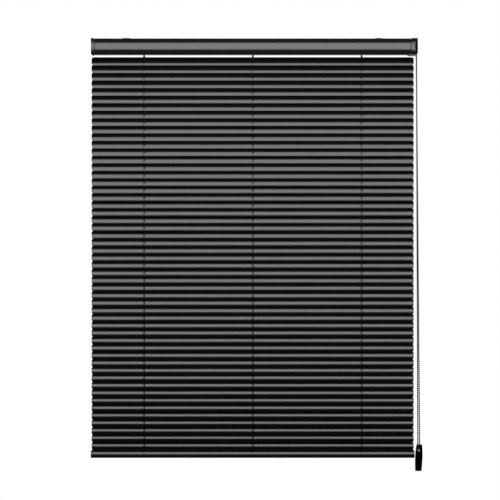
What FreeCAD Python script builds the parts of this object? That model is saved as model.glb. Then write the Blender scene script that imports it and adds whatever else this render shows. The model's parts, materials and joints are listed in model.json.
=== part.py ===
# Venetian blind with 25 mm aluminium slats, driven by one bead chain.
# Frame: X along the head rail, -Y towards the room, +Z up. The origin lies on the plane that the
# two ceiling clips are screwed to, in line with the middle ladder. All lengths are millimetres.
import FreeCAD, Part
import math
import os
from FreeCAD import Placement, Rotation, Vector

# ---------------------------------------------------------------- driving dimensions
SIZES = {
    "slat_count": 52, "slat_pitch": 21.5, "slat_width": 25.0, "slat_length": 918.0,
    "slat_gauge": 0.21, "slat_crown": 2.0, "slat_corner": 6.0, "closed_tilt": 70.0,
    "slot_travel": 9.23715, "slot_play": 0.3, "first_slat_drop": 64.7,
    "ladder_spacing": 310.0, "string_thick": 1.2, "string_wide": 2.0, "rung_thick": 0.5,
    "string_beside": 1.0, "cord_diameter": 1.8, "cord_clear": 0.7,
    "rail_in_left": 9.5, "rail_in_right": 9.0, "rail_height": 47.0, "rail_depth": 44.0,
    "rail_wall": 1.2, "rail_front_radius": 67.0, "rail_front_level": 26.7, "rail_lip": 1.8,
    "clip_rise": 1.5, "groove_mouth": 16.0, "groove_inside": 22.0, "groove_depth": 7.5,
    "cap_proud": 0.8, "cap_above": 1.3, "cap_below": 3.0, "cap_wall": 1.5,
    "left_cap": 11.2, "right_cap": 20.7, "left_chamfer_wide": 9.5, "left_chamfer_high": 11.0,
    "right_cap_corner": 12.0, "plug_length": 6.0, "plug_seat": 0.45, "shaft_drop": 26.5, "shaft_side": 6.0,
    "drum_radius": 9.6, "drum_wide": 7.6, "spool_radius": 6.0, "spool_wide": 11.0,
    "cradle_long": 34.0, "cradle_wall": 2.5, "journal_radius": 5.0, "running_gap": 0.1,
    "chain_diameter": 4.5, "sprocket_radius": 15.3, "chain_inset": 4.0, "sprocket_wide": 5.0,
    "base_width": 25.0, "base_thick": 8.0, "base_crown": 2.0, "base_wall": 0.6, "base_corner": 2.5,
    "base_over": 1.0, "base_cap": 1.5, "plug_radius": 4.5, "plug_rim": 6.0,
    "weight_wide": 27.0, "weight_top": 17.0, "weight_bottom": 21.0, "weight_corner": 3.0,
    "weight_thick": 13.0, "weight_tall": 76.0, "weight_turn": 25.0, "weight_lean": 2.0,
    "weight_beside": 6.8, "weight_drop": 1194.4, "loop_radius": 6.5, "loop_straight": 27.0,
    "roller_thick": 4.4, "cap_end_wall": 1.2, "chain_room": 1.0, "plug_setback": 0.5,
    "cradle_setback": 1.0, "above_journal": 3.0, "drum_start": 0.6, "spool_start": 0.9,
    "plug_play": 0.1, "plug_rim_thick": 1.2, "clip_long": 40.0, "clip_spacing": 720.0,
    "clip_hole": 2.25, "fit_gap": 0.3,
}

doc = FreeCAD.newDocument("venetian_blind")
sheet = doc.addObject("Spreadsheet::Sheet", "Sizes")
# Sizes that follow from others, so that what fits together stays together.
TIED = {
    "rail_left": "=slat_length / 2 - rail_in_left", "rail_right": "=slat_length / 2 - rail_in_right",
    "base_length": "=slat_length + 2 * base_over", "slot_width": "=cord_diameter + 2 * slot_play",
    "cord_beside": "=cord_clear + cord_diameter / 2",
    "weight_side": "=rail_right + right_cap - chain_inset + weight_beside",
    "slot_length": "=cord_diameter / cos(closed_tilt * 1deg) + slot_travel",
}
for row, (alias, value) in enumerate((SIZES | TIED).items(), start=1):
    sheet.set(f"A{row}", alias)
    sheet.set(f"B{row}", str(value))
    sheet.setAlias(f"B{row}", alias)
doc.recompute()


def size(alias):
    """The number that the sheet holds under this alias."""
    return float(sheet.get(alias))


# ---------------------------------------------------------------- places worked out from them
gap = size("fit_gap")
rail_top = -size("clip_rise")
rail_bottom = rail_top - size("rail_height")
rail_back = size("rail_depth") / 2
front_centre_y = -size("rail_depth") / 2 + size("rail_front_radius")
front_centre_z = rail_top - size("rail_front_level")
shaft_z = rail_top - size("shaft_drop")
tilt = math.radians(size("closed_tilt"))
slat_count = int(size("slat_count"))
first_slat_z = rail_top - size("first_slat_drop")
base_z = first_slat_z - slat_count * size("slat_pitch")
ladder_places = [-size("ladder_spacing"), 0.0, size("ladder_spacing")]
chain_x = size("rail_right") + size("right_cap") - size("chain_inset")
left_end = -size("rail_left") - size("left_cap")
right_end = size("rail_right") + size("right_cap")
cap_top = rail_top + size("cap_above")
cap_bottom = rail_bottom - size("cap_below")
FAR = 60.0                      # how far a cutting block reaches past what it cuts


def turned(y, z, angle=tilt):
    """A point of a slat's own section, once the slat is tilted about X."""
    return (y * math.cos(angle) - z * math.sin(angle), y * math.sin(angle) + z * math.cos(angle))


# ---------------------------------------------------------------- helpers for building
def place(x=0.0, y=0.0, z=0.0, axis=Vector(1, 0, 0), angle=0.0):
    return Placement(Vector(x, y, z), Rotation(axis, angle))


def outline(points):
    """Closed run of edges through flat points; an item with two points is an arc by its middle."""
    edges, start = [], Vector(*points[0])
    for item in list(points[1:]) + [points[0]]:
        if isinstance(item[0], tuple):
            middle, end = Vector(*item[0]), Vector(*item[1])
            edges.append(Part.ArcOfCircle(start, middle, end))
        else:
            end = Vector(*item)
            if start.distanceToPoint(end) > 0.001:
                edges.append(Part.LineSegment(start, end))
        start = end
    return edges


def add_sketch(body, role, loops, offset):
    """Sketch on one of the body's own planes, moved along the plane's normal by offset."""
    plane = [f for f in body.Origin.OriginFeatures if f.Role == role][0]
    sketch = body.newObject("Sketcher::SketchObject", body.Name + "_sketch")
    sketch.AttachmentSupport = (plane, [""])
    sketch.MapMode = "FlatFace"
    sketch.AttachmentOffset = place(z=offset)
    for loop in loops:
        sketch.addGeometry(loop, False)
    return sketch


def padded(name, role, loops, start, length):
    """Body with one Pad; length is a number or an expression on the sheet."""
    body = doc.addObject("PartDesign::Body", name)
    sketch = add_sketch(body, role, loops, start)
    pad = body.newObject("PartDesign::Pad", name + "_pad")
    pad.Profile = sketch
    if isinstance(length, str):
        pad.setExpression("Length", length)
    else:
        pad.Length = length
    doc.recompute()
    return body


def box(name, low, high):
    block = doc.addObject("Part::Box", name)
    block.Length, block.Width, block.Height = (high[k] - low[k] for k in range(3))
    block.Placement = place(*low)
    return block


def rod_x(name, radius, start, length, y=0.0, z=0.0):
    """Round bar along X; radius and length are expressions on the sheet, or numbers."""
    rod = doc.addObject("Part::Cylinder", name)
    for prop, value in (("Radius", radius), ("Height", length)):
        if isinstance(value, str):
            rod.setExpression(prop, value)
        else:
            setattr(rod, prop, value)
    rod.Placement = place(start, y, z, Vector(0, 1, 0), 90)
    return rod


def cut(name, base, *tools):
    result = base
    for number, tool in enumerate(tools):
        step = doc.addObject("Part::Cut", f"{name}_cut{number}")
        step.Base, step.Tool = result, tool
        result = step
    return result


def fuse(name, *shapes):
    joined = doc.addObject("Part::MultiFuse", name)
    joined.Shapes = list(shapes)
    joined.Refine = True
    return joined


def group(label, members):
    """One node that holds several separate pieces."""
    node = doc.addObject("Part::Compound", label)
    node.Links = members
    node.Label = label
    return node


nodes = []


# ---------------------------------------------------------------- slats
def slat_section():
    """Thin arc, crowned upwards, with the middle of its chord, where it turns, at the origin."""
    half, crown, gauge = size("slat_width") / 2, size("slat_crown"), size("slat_gauge")
    low = -gauge / 2
    return outline([(-half, low), ((0, low + crown), (half, low)), (half, low + gauge),
                    ((0, low + crown + gauge), (-half, low + gauge))])


def round_rectangle(half_x, half_y, radius, x=0.0, y=0.0):
    k = radius * (1 - math.sqrt(0.5))
    return outline([
        (x - half_x + radius, y - half_y), (x + half_x - radius, y - half_y),
        ((x + half_x - k, y - half_y + k), (x + half_x, y - half_y + radius)),
        (x + half_x, y + half_y - radius),
        ((x + half_x - k, y + half_y - k), (x + half_x - radius, y + half_y)),
        (x - half_x + radius, y + half_y),
        ((x - half_x + k, y + half_y - k), (x - half_x, y + half_y - radius)),
        (x - half_x, y - half_y + radius),
        ((x - half_x + k, y - half_y + k), (x - half_x + radius, y - half_y))])


def rectangle(half_x, half_y):
    return outline([(-half_x, -half_y), (half_x, -half_y), (half_x, half_y), (-half_x, half_y)])


def slat_master():
    """One slat lying flat: rolled strip, punched for the lift cords and rounded at its corners."""
    half_length, half_width = size("slat_length") / 2, size("slat_width") / 2
    body = padded("slat_master", "YZ_Plane", [slat_section()], -half_length, "Sizes.slat_length")
    whole = body.Shape.Volume
    loops = [rectangle(half_length + FAR, half_width + FAR),
             round_rectangle(half_length, half_width, size("slat_corner"))]
    for x in ladder_places:
        loops.append(round_rectangle(size("slot_width") / 2, size("slot_length") / 2,
                                     size("slot_width") / 2 - 0.01, x + size("cord_beside")))
    punch = add_sketch(body, "XY_Plane", loops, 2 * size("slat_crown"))
    pocket = body.newObject("PartDesign::Pocket", "slat_punch")
    pocket.Profile = punch
    pocket.setExpression("Length", "4 * Sizes.slat_crown")
    doc.recompute()
    slot_area = size("slot_length") * size("slot_width") * len(ladder_places)
    assert body.Shape.Volume < whole - 0.8 * slot_area * size("slat_gauge")
    return body


master = slat_master()
for number in range(slat_count):
    slat = doc.addObject("App::Link", f"slat_{number + 1:02d}")
    slat.LinkedObject = master
    slat.Label = f"slat_{number + 1:02d}"
    slat.Placement = place(z=first_slat_z - number * size("slat_pitch"), angle=size("closed_tilt"))
    nodes.append(slat)


# ---------------------------------------------------------------- head rail
def front_y(z, inset):
    """How far forward the curved front reaches at this height."""
    radius = size("rail_front_radius") - inset
    return front_centre_y - math.sqrt(radius ** 2 - (z - front_centre_z) ** 2)


def rail_outline(inset, top, bottom, groove=()):
    """Outline of the rail's section: flat back, floor and top, bowed front with a lip below."""
    lip = rail_bottom + size("rail_lip")
    middle = (top + lip) / 2
    return outline([
        (rail_back - inset, top), *groove, (front_y(top, inset), top),
        ((front_y(middle, inset), middle), (front_y(lip, inset), lip)),
        (front_y(lip, inset), bottom), (rail_back - inset, bottom)])


groove_y = 0.0                  # the clip groove runs along the rail's own middle
groove_floor = rail_top - size("groove_depth")
wall = size("rail_wall")


def head_rail():
    mouth, inside = size("groove_mouth") / 2, size("groove_inside") / 2
    lips = rail_top - wall
    outer_groove = [(groove_y + mouth, rail_top), (groove_y + mouth, lips),
                    (groove_y + inside, lips), (groove_y + inside, groove_floor),
                    (groove_y - inside, groove_floor), (groove_y - inside, lips),
                    (groove_y - mouth, lips), (groove_y - mouth, rail_top)]
    inner_groove = [(groove_y + inside + wall, lips), (groove_y + inside + wall, groove_floor - wall),
                    (groove_y - inside - wall, groove_floor - wall), (groove_y - inside - wall, lips)]
    loops = [rail_outline(0.0, rail_top, rail_bottom, outer_groove),
             rail_outline(wall, lips, rail_bottom + wall, inner_groove)]
    body = padded("rail_extrusion", "YZ_Plane", loops, -size("rail_left"),
                  "Sizes.rail_left + Sizes.rail_right")
    slots = [box(f"rail_slot{n}", (x - floor_slot_x, -floor_slot_y, rail_bottom - 1),
                 (x + floor_slot_x, floor_slot_y, rail_bottom + wall + 1))
             for n, x in enumerate(ladder_places)]
    rail = cut("head_rail", body, *slots)
    rail.Label = "head_rail"
    return rail


floor_slot_x = size("cradle_long") / 2 - size("cradle_wall") - 1.5
floor_slot_y = size("drum_radius") + size("string_thick") + 1.7
nodes.append(head_rail())


# ---------------------------------------------------------------- end caps
def cap_shell(name, start, length, hollow):
    """Moulded cap: the rail's outline made larger all round, hollowed by a block."""
    loops = [rail_outline(-size("cap_proud"), cap_top, cap_bottom)]
    body = padded(name, "YZ_Plane", loops, start, f"Sizes.{length}")
    return cut(name + "_hollow", body, box(name + "_inside", *hollow))


plug_low = rail_bottom + wall + gap


def cap_plug(name, start):
    """Block that pushes into the rail's end and carries the shaft in its bore."""
    low = (start, front_y(rail_bottom + wall, 0) + wall + 2 * gap + size("plug_setback"),
           plug_low)
    high = (start + size("plug_length"), rail_back - wall - gap, groove_floor - wall - gap)
    block = box(name, low, high)
    bore = rod_x(name + "_bore", "Sizes.journal_radius + Sizes.running_gap", start - 1,
                 size("plug_length") + 2, 0, shaft_z)
    return cut(name + "_bored", block, bore)


def end_caps():
    cap_wall, half = size("cap_wall"), size("sprocket_radius") + size("chain_diameter") / 2
    half += size("chain_room")
    low_z, high_z = plug_low + size("plug_seat"), shaft_z + half
    left_low = (-size("rail_left") - size("left_cap") + cap_wall, -half,
                cap_bottom + size("left_chamfer_high"))
    left = cap_shell("left_cap_body", left_end, "left_cap",
                     (left_low, (-size("rail_left") + 1, half, high_z)))
    wedge = padded("left_wedge", "XZ_Plane", [outline([
        (left_end - 1, cap_bottom - 1), (left_end + size("left_chamfer_wide"), cap_bottom - 1),
        (left_end + size("left_chamfer_wide"), cap_bottom),
        (left_end, cap_bottom + size("left_chamfer_high")),
        (left_end - 1, cap_bottom + size("left_chamfer_high"))])], -FAR, 2 * FAR)
    left = fuse("left_cap", cut("left_cap_trim", left, wedge),
                cap_plug("left_plug", -size("rail_left")))
    inside = ((size("rail_right") - 1, -half, low_z), (right_end - size("cap_end_wall"), half, high_z))
    right = cap_shell("right_cap_body", size("rail_right"), "right_cap", inside)
    corner = size("right_cap_corner")
    k = corner * (1 - math.sqrt(0.5))
    scoop = padded("right_scoop", "XZ_Plane", [outline([
        (right_end - corner, cap_bottom), ((right_end - k, cap_bottom + k),
                                           (right_end, cap_bottom + corner)),
        (right_end + 1, cap_bottom + corner), (right_end + 1, cap_bottom - 1),
        (right_end - corner, cap_bottom - 1)])], -FAR, 2 * FAR)
    exit_slot = box("chain_exit", (chain_x - size("chain_diameter") / 2 - gap, -half, cap_bottom - 1),
                    (right_end - size("cap_end_wall"), half, low_z + 1))
    right = fuse("right_cap", cut("right_cap_trim", right, scoop, exit_slot),
                 cap_plug("right_plug", size("rail_right") - size("plug_length")))
    return group("rail_end_caps", [left, right])


nodes.append(end_caps())


# ---------------------------------------------------------------- cradles and ceiling clips
def cradle(number, x):
    """Saddle that stands on the rail's floor round a slot and carries a drum between its walls."""
    half_long, cradle_wall = size("cradle_long") / 2, size("cradle_wall")
    floor = rail_bottom + wall
    depth_front = front_y(floor, 0) + wall + size("cradle_setback")
    base = box(f"cradle{number}_base", (x - half_long, depth_front, floor),
               (x + half_long, rail_back - wall - gap, floor + cradle_wall))
    hole = box(f"cradle{number}_hole", (x - floor_slot_x, -floor_slot_y, floor - 1),
               (x + floor_slot_x, floor_slot_y, floor + cradle_wall + 1))
    walls = [box(f"cradle{number}_wall{n}", (x + side, -floor_slot_y, floor),
                 (x + side + cradle_wall, floor_slot_y,
                  shaft_z + size("journal_radius") + size("above_journal")))
             for n, side in enumerate((-half_long, half_long - cradle_wall))]
    bore = rod_x(f"cradle{number}_bore", "Sizes.journal_radius + Sizes.running_gap",
                 x - half_long - 1, "Sizes.cradle_long + 2", 0, shaft_z)
    solid = fuse(f"cradle{number}_block", base, *walls)
    return cut(f"cradle{number}", solid, hole, bore)


def ceiling_clip(number, x):
    """Plate held under the groove's lips, with a raised pad that takes the ceiling screw."""
    half_long, play = size("clip_long") / 2, gap
    lips = rail_top - wall
    plate = box(f"clip{number}_plate",
                (x - half_long, groove_y - size("groove_inside") / 2 + play, lips - 1.5),
                (x + half_long, groove_y + size("groove_inside") / 2 - play, lips))
    pad = box(f"clip{number}_pad",
              (x - half_long / 2, groove_y - size("groove_mouth") / 2 + play, lips - 1),
              (x + half_long / 2, groove_y + size("groove_mouth") / 2 - play, 0))
    hole = doc.addObject("Part::Cylinder", f"clip{number}_hole")
    hole.setExpression("Radius", "Sizes.clip_hole")
    hole.Height = 10
    hole.Placement = place(x, groove_y, -8)
    return cut(f"clip{number}", fuse(f"clip{number}_whole", plate, pad), hole)


clip_places = (-size("clip_spacing") / 2, size("clip_spacing") / 2)
nodes.append(group("cradles_and_ceiling_clips",
                   [cradle(n, x) for n, x in enumerate(ladder_places)]
                   + [ceiling_clip(n, x) for n, x in enumerate(clip_places)]))


# ---------------------------------------------------------------- drive shaft
def square_bore(name, start, length):
    half = size("shaft_side") / 2 + 0.05
    return box(name, (start, -half, shaft_z - half), (start + length, half, shaft_z + half))


def on_shaft(name, radius, start, length):
    """Round piece that the square shaft turns."""
    disc = rod_x(name + "_disc", radius, start, length, 0, shaft_z)
    return cut(name, disc, square_bore(name + "_bore", start - 1, length + 2))


def drive_shaft():
    half, overlap = size("shaft_side") / 2, size("cradle_wall") + 1
    start = -size("rail_left") - 2
    end = chain_x + size("sprocket_wide") / 2
    pieces = [box("square_shaft", (start, -half, shaft_z - half), (end, half, shaft_z + half))]
    drum_from, spool_from = size("drum_wide") - size("drum_start"), size("spool_start")
    inner_wall = size("cradle_long") / 2 - size("cradle_wall")
    for n, x in enumerate(ladder_places):
        drum = on_shaft(f"drum{n}", "Sizes.drum_radius", x - drum_from, size("drum_wide"))
        neck = on_shaft(f"drum_neck{n}", size("journal_radius"), x - inner_wall - overlap,
                        inner_wall + overlap - drum_from)
        spool = on_shaft(f"spool{n}", "Sizes.spool_radius", x + spool_from,
                         size("spool_wide"))
        spool_neck = on_shaft(f"spool_neck{n}", size("journal_radius"), x + spool_from + size("spool_wide"),
                              inner_wall + overlap - spool_from - size("spool_wide"))
        pieces += [fuse(f"ladder_drum{n}", drum, neck), fuse(f"cord_spool{n}", spool, spool_neck)]
    sprocket_core = size("sprocket_radius") - size("chain_diameter") / 2 - gap
    pieces.append(on_shaft("chain_sprocket", sprocket_core, chain_x - size("sprocket_wide") / 2,
                           size("sprocket_wide")))
    pieces.append(on_shaft("left_bush", size("journal_radius"), -size("rail_left") - 1,
                           size("plug_length") + 3))
    pieces.append(on_shaft("right_bush", size("journal_radius"),
                           size("rail_right") - size("plug_length") - 2, size("plug_length") + 4))
    return group("drive_shaft", pieces)


nodes.append(drive_shaft())


# ---------------------------------------------------------------- ladders, lift cords, chain arch
rung_depth = -size("slat_gauge") / 2 - 1.5 * gap - size("rung_thick") / 2
back_string = size("slat_width") / 2 * math.cos(tilt) + gap + size("string_thick") / 2
front_string = -back_string


def strip(points, thick):
    """Outline of a strip of this thickness, measured in Y, that follows points in Y and Z."""
    left = [(y - thick / 2, z) for y, z in points]
    right = [(y + thick / 2, z) for y, z in reversed(points)]
    return outline(left + right)


def ladder_string_points(side, y):
    """From the drum's side, in to the slats, down past the last slat and to the base rail."""
    drum_y = side * (size("drum_radius") + size("string_thick") / 2 + gap)
    inward = first_slat_z + turned(size("slat_width") / 2, 0)[1] + 1.5
    if side < 0:
        last = (turned(-size("base_width") / 2, size("base_thick") / 2)[0] - size("string_thick"),
                base_z - size("base_width") / 2 + 2)
        turn_out = base_z + 1.5
    else:
        last = (turned(size("base_width") / 2, -size("base_thick") / 2)[0] + size("string_thick"),
                base_z + size("base_width") / 2 - 3)
        turn_out = base_z + size("slat_pitch")
    return [(drum_y, shaft_z), (drum_y, rail_bottom + wall + 1.5), (y, inward), (y, turn_out), last]


def rung_line(y):
    """Height of a rung's middle above its slat's centre, where it crosses this Y."""
    along = (y + rung_depth * math.sin(tilt)) / math.cos(tilt)
    return along * math.sin(tilt) + rung_depth * math.cos(tilt)


def ladder(number, x):
    """Two strings and a rung under each slat, woven as one piece."""
    start = x - size("string_beside") - size("string_wide") / 2
    front = padded(f"front_string{number}", "YZ_Plane",
                   [strip(ladder_string_points(-1, front_string), size("string_thick"))],
                   start, "Sizes.string_wide")
    back = padded(f"back_string{number}", "YZ_Plane",
                  [strip(ladder_string_points(1, back_string), size("string_thick"))],
                  start, "Sizes.string_wide")
    near, far = front_string + size("string_thick") / 2, back_string - size("string_thick") / 2
    rise = size("rung_thick") / 2 / math.cos(tilt)
    rungs = []
    for slat_number in range(slat_count):
        z = first_slat_z - slat_number * size("slat_pitch")
        loop = outline([(near, z + rung_line(near) - rise), (far, z + rung_line(far) - rise),
                        (far, z + rung_line(far) + rise), (near, z + rung_line(near) + rise)])
        face = Part.Face(Part.Wire([edge.toShape() for edge in loop]))
        face.Placement = Placement(Vector(start, 0, 0), Rotation(Vector(1, 1, 1), 120))
        rungs.append(face.extrude(Vector(size("string_wide"), 0, 0)))
    rung_set = doc.addObject("Part::Feature", f"rungs{number}")
    rung_set.Shape = Part.makeCompound(rungs)
    return [front, back, rung_set]


def lift_cord(number, x):
    """Cord from its spool's underside, through every slat, to the plug in the base rail."""
    low = base_z + size("base_thick") / 2 / math.cos(tilt) + gap
    high = shaft_z - size("spool_radius") - gap
    cord = doc.addObject("Part::Cylinder", f"lift_cord{number}")
    cord.setExpression("Radius", "Sizes.cord_diameter / 2")
    cord.Height = high - low
    cord.Placement = place(x + size("cord_beside"), 0, low)
    return cord


def tube(points, radius):
    """Round tube along straight runs and tangent arcs; prints each arc's radius."""
    runs = [points[n + 1] - points[n] for n in range(len(points) - 1)]
    edges, start, radii = [], points[0], []
    for n in range(1, len(points) - 1):
        before, after = Vector(runs[n - 1]).normalize(), Vector(runs[n]).normalize()
        turn = before.getAngle(after)
        if turn < 1e-6:             # a point on a straight run
            continue
        reach = 0.45 * min(runs[n - 1].Length, runs[n].Length)
        radii.append(round(reach / math.tan(turn / 2), 2))
        enter, leave = points[n] - before * reach, points[n] + after * reach
        inward = (after - before).normalize()
        centre_distance = reach / math.sin(turn / 2)
        middle = points[n] + inward * (centre_distance - reach / math.tan(turn / 2))
        edges += [Part.LineSegment(start, enter).toShape(), Part.Arc(enter, middle, leave).toShape()]
        start = leave
    edges.append(Part.LineSegment(start, points[-1]).toShape())
    path = Part.Wire(edges)
    ring = Part.Wire(Part.makeCircle(radius, points[0], runs[0]))
    solid = path.makePipeShell([ring], True, False)
    print("tube radii", radii, "length", round(path.Length, 2),
          "volume ratio", round(solid.Volume / (math.pi * radius ** 2 * path.Length), 4))
    return solid


def chain_arch():
    """The stretch of bead chain that lies over the sprocket, inside the right cap."""
    radius, bead = size("sprocket_radius"), size("chain_diameter") / 2
    foot = cap_bottom + 0.15
    front, back = Vector(chain_x, -radius, foot), Vector(chain_x, radius, foot)
    up = Vector(chain_x, -radius, shaft_z)
    over = Vector(chain_x, radius, shaft_z)
    top = Vector(chain_x, 0, shaft_z + radius)
    path = Part.Wire([Part.LineSegment(front, up).toShape(), Part.Arc(up, top, over).toShape(),
                      Part.LineSegment(over, back).toShape()])
    ring = Part.Wire(Part.makeCircle(bead, front, Vector(0, 0, 1)))
    arch = doc.addObject("Part::Feature", "chain_arch")
    arch.Shape = path.makePipeShell([ring], True, False)
    return arch


cords = []
for number, x in enumerate(ladder_places):
    cords += ladder(number, x) + [lift_cord(number, x)]
nodes.append(group("ladders_and_cords", cords + [chain_arch()]))


# ---------------------------------------------------------------- base rail
def base_section(inset):
    """Flat closed tube, crowned on the face that looks into the room, this far inside its outside."""
    side, low, top = (size("base_width") / 2 - inset, inset - size("base_thick") / 2,
                      size("base_thick") / 2 - inset)
    shoulder, corner = top - size("base_crown"), size("base_corner") - inset
    soft, flat = corner * (1 - math.sqrt(0.5)), side - corner
    return outline([
        (-flat, low), (flat, low), ((side - soft, low + soft), (side, low + corner)),
        (side, shoulder - corner), ((side - soft, shoulder - soft), (flat, shoulder)),
        ((0, top), (-flat, shoulder)), ((soft - side, shoulder - soft), (-side, shoulder - corner)),
        (-side, low + corner), ((soft - side, low + soft), (-flat, low))])


def base_rail():
    """Roll-formed rail, closed tube, with two end caps and three cord plugs, tilted as the slats."""
    half_t, thin = size("base_thick") / 2, size("base_wall")
    loops = [base_section(0.0), base_section(thin)]
    tubes = padded("base_tube", "YZ_Plane", loops, -size("base_length") / 2, "Sizes.base_length")
    holes, plugs = [], []
    for n, x in enumerate(ladder_places):
        hole_radius, rim_low = size("plug_radius") + size("plug_play"), -half_t - size("plug_rim_thick")
        for kind, radius, high, low in (("hole", hole_radius, -half_t + thin + 0.5, -half_t - 1),
                                        ("stem", size("plug_radius"), half_t - thin - 3 * gap, -half_t),
                                        ("rim", size("plug_rim"), -half_t, rim_low)):
            part = doc.addObject("Part::Cylinder", f"base_{kind}{n}")
            part.Radius, part.Height = radius, high - low
            part.Placement = place(x, 0, low)
            (holes if kind == "hole" else plugs).append(part)
    rail = cut("base_tube_bored", tubes, *holes)
    caps = [padded(f"base_cap{n}", "YZ_Plane", [base_section(0.0)], start,
                   "Sizes.base_cap")
            for n, start in enumerate((-size("base_length") / 2 - size("base_cap"),
                                       size("base_length") / 2))]
    pairs = [fuse(f"cord_plug{n}", plugs[2 * n], plugs[2 * n + 1]) for n in range(len(plugs) // 2)]
    node = group("bottom_rail", [rail] + caps + pairs)
    node.Placement = place(z=base_z, angle=size("closed_tilt"))
    return node


nodes.append(base_rail())


# ---------------------------------------------------------------- bead chain and its weight
weight_z = rail_top - size("weight_drop")


def across(distance, z):
    """A point of the weight's long section, this far behind its middle before it is turned."""
    angle = math.radians(size("weight_turn"))
    return Vector(size("weight_side") + distance * math.sin(angle), distance * math.cos(angle), z)


def chain_route():
    """Down the front, round the roller in the weight, and up the back."""
    low, rise = weight_z - size("loop_radius"), size("loop_straight")
    front = Vector(chain_x, -size("sprocket_radius"), cap_bottom)
    back = Vector(chain_x, size("sprocket_radius"), cap_bottom)
    front_low, back_low = across(-size("loop_radius"), low), across(size("loop_radius"), low)
    return [front, front_low + (front - front_low).normalize() * rise, front_low,
            back_low, back_low + (back - back_low).normalize() * rise, back]


def bead_chain():
    chain = doc.addObject("Part::Feature", "bead_chain")
    chain.Shape = tube(chain_route(), size("chain_diameter") / 2)
    chain.Label = "bead_chain"
    return chain


def chain_weight():
    """Two moulded halves that close round the chain, and the roller that they hold."""
    half_w, half_t, half_h = (size(a) / 2 for a in ("weight_wide", "weight_thick", "weight_tall"))
    top, bottom, corner = size("weight_top") / 2, size("weight_bottom") / 2, size("weight_corner")
    flank = 0.75                # an arc's middle lies three quarters of the way out, as on a parabola
    soft = corner * (1 - math.sqrt(0.5))
    high = half_h - corner
    barrel = outline([
        (corner - bottom, -half_h), (bottom - corner, -half_h),
        ((bottom - soft, soft - half_h), (bottom, -high)),
        ((bottom + flank * (half_w - bottom), -high / 2), (half_w, 0)),
        ((top + flank * (half_w - top), high / 2), (top, high)),
        ((top - soft, half_h - soft), (top - corner, half_h)), (corner - top, half_h),
        ((soft - top, half_h - soft), (-top, high)),
        ((-top - flank * (half_w - top), high / 2), (-half_w, 0)),
        ((-bottom - flank * (half_w - bottom), -high / 2), (-bottom, -high)),
        ((soft - bottom, soft - half_h), (corner - bottom, -half_h))])
    turn = place(size("weight_side"), 0, weight_z, Vector(0, 0, 1), -size("weight_turn"))
    leaning = (place(size("weight_side"), 0, weight_z, Vector(0, 1, 0), size("weight_lean"))
               * place(0, 0, 0, Vector(0, 0, 1), -size("weight_turn")))
    channel = doc.addObject("Part::Feature", "chain_channel")
    channel.Shape = tube(chain_route(), size("chain_diameter") / 2 + gap)
    roller_radius = size("loop_radius") - size("chain_diameter") / 2 - gap
    halves = []
    for n, start in enumerate((-half_t, 0.0)):
        body = padded(f"weight_half{n}", "YZ_Plane", [barrel], start, half_t)
        body.Placement = leaning
        pocket = doc.addObject("Part::Cylinder", f"roller_pocket{n}")
        pocket.Radius, pocket.Height = roller_radius + gap, size("roller_thick") + 2 * gap
        pocket.Placement = turn * place(-pocket.Height.Value / 2, 0, 0, Vector(0, 1, 0), 90)
        halves.append(cut(f"weight_shell{n}", body, channel, pocket))
    roller = doc.addObject("Part::Cylinder", "weight_roller")
    roller.Radius, roller.Height = roller_radius, size("roller_thick")
    roller.Placement = turn * place(-size("roller_thick") / 2, 0, 0, Vector(0, 1, 0), 90)
    return group("chain_weight", halves + [roller])


nodes += [bead_chain(), chain_weight()]

# ---------------------------------------------------------------- checks, then one file for each node
doc.recompute()
bad = [o.Name for o in doc.Objects if "Invalid" in o.State or "Error" in o.State]
assert not bad, bad
os.makedirs("parts", exist_ok=True)
for node in nodes:
    shape = Part.getShape(node)
    assert not shape.isNull() and shape.isValid() and shape.Solids, node.Label
for node in nodes:
    Part.getShape(node).exportStep(f"parts/{node.Label}.step")
print(len(nodes), "nodes,", sum(len(Part.getShape(n).Solids) for n in nodes), "solids")
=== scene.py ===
# %% [markdown]
# # A black venetian blind
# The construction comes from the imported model: head rail, slats, ladders, bottom rail and bead chain, each
# in place and at its real size. This script gives them their looks. Everything below is in metres, with
# X along the head rail, -Y towards the room and +Z up.

# %% Load the frame
import json
import math
import random
import bmesh
import bpy
from mathutils import Matrix, Vector


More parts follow.
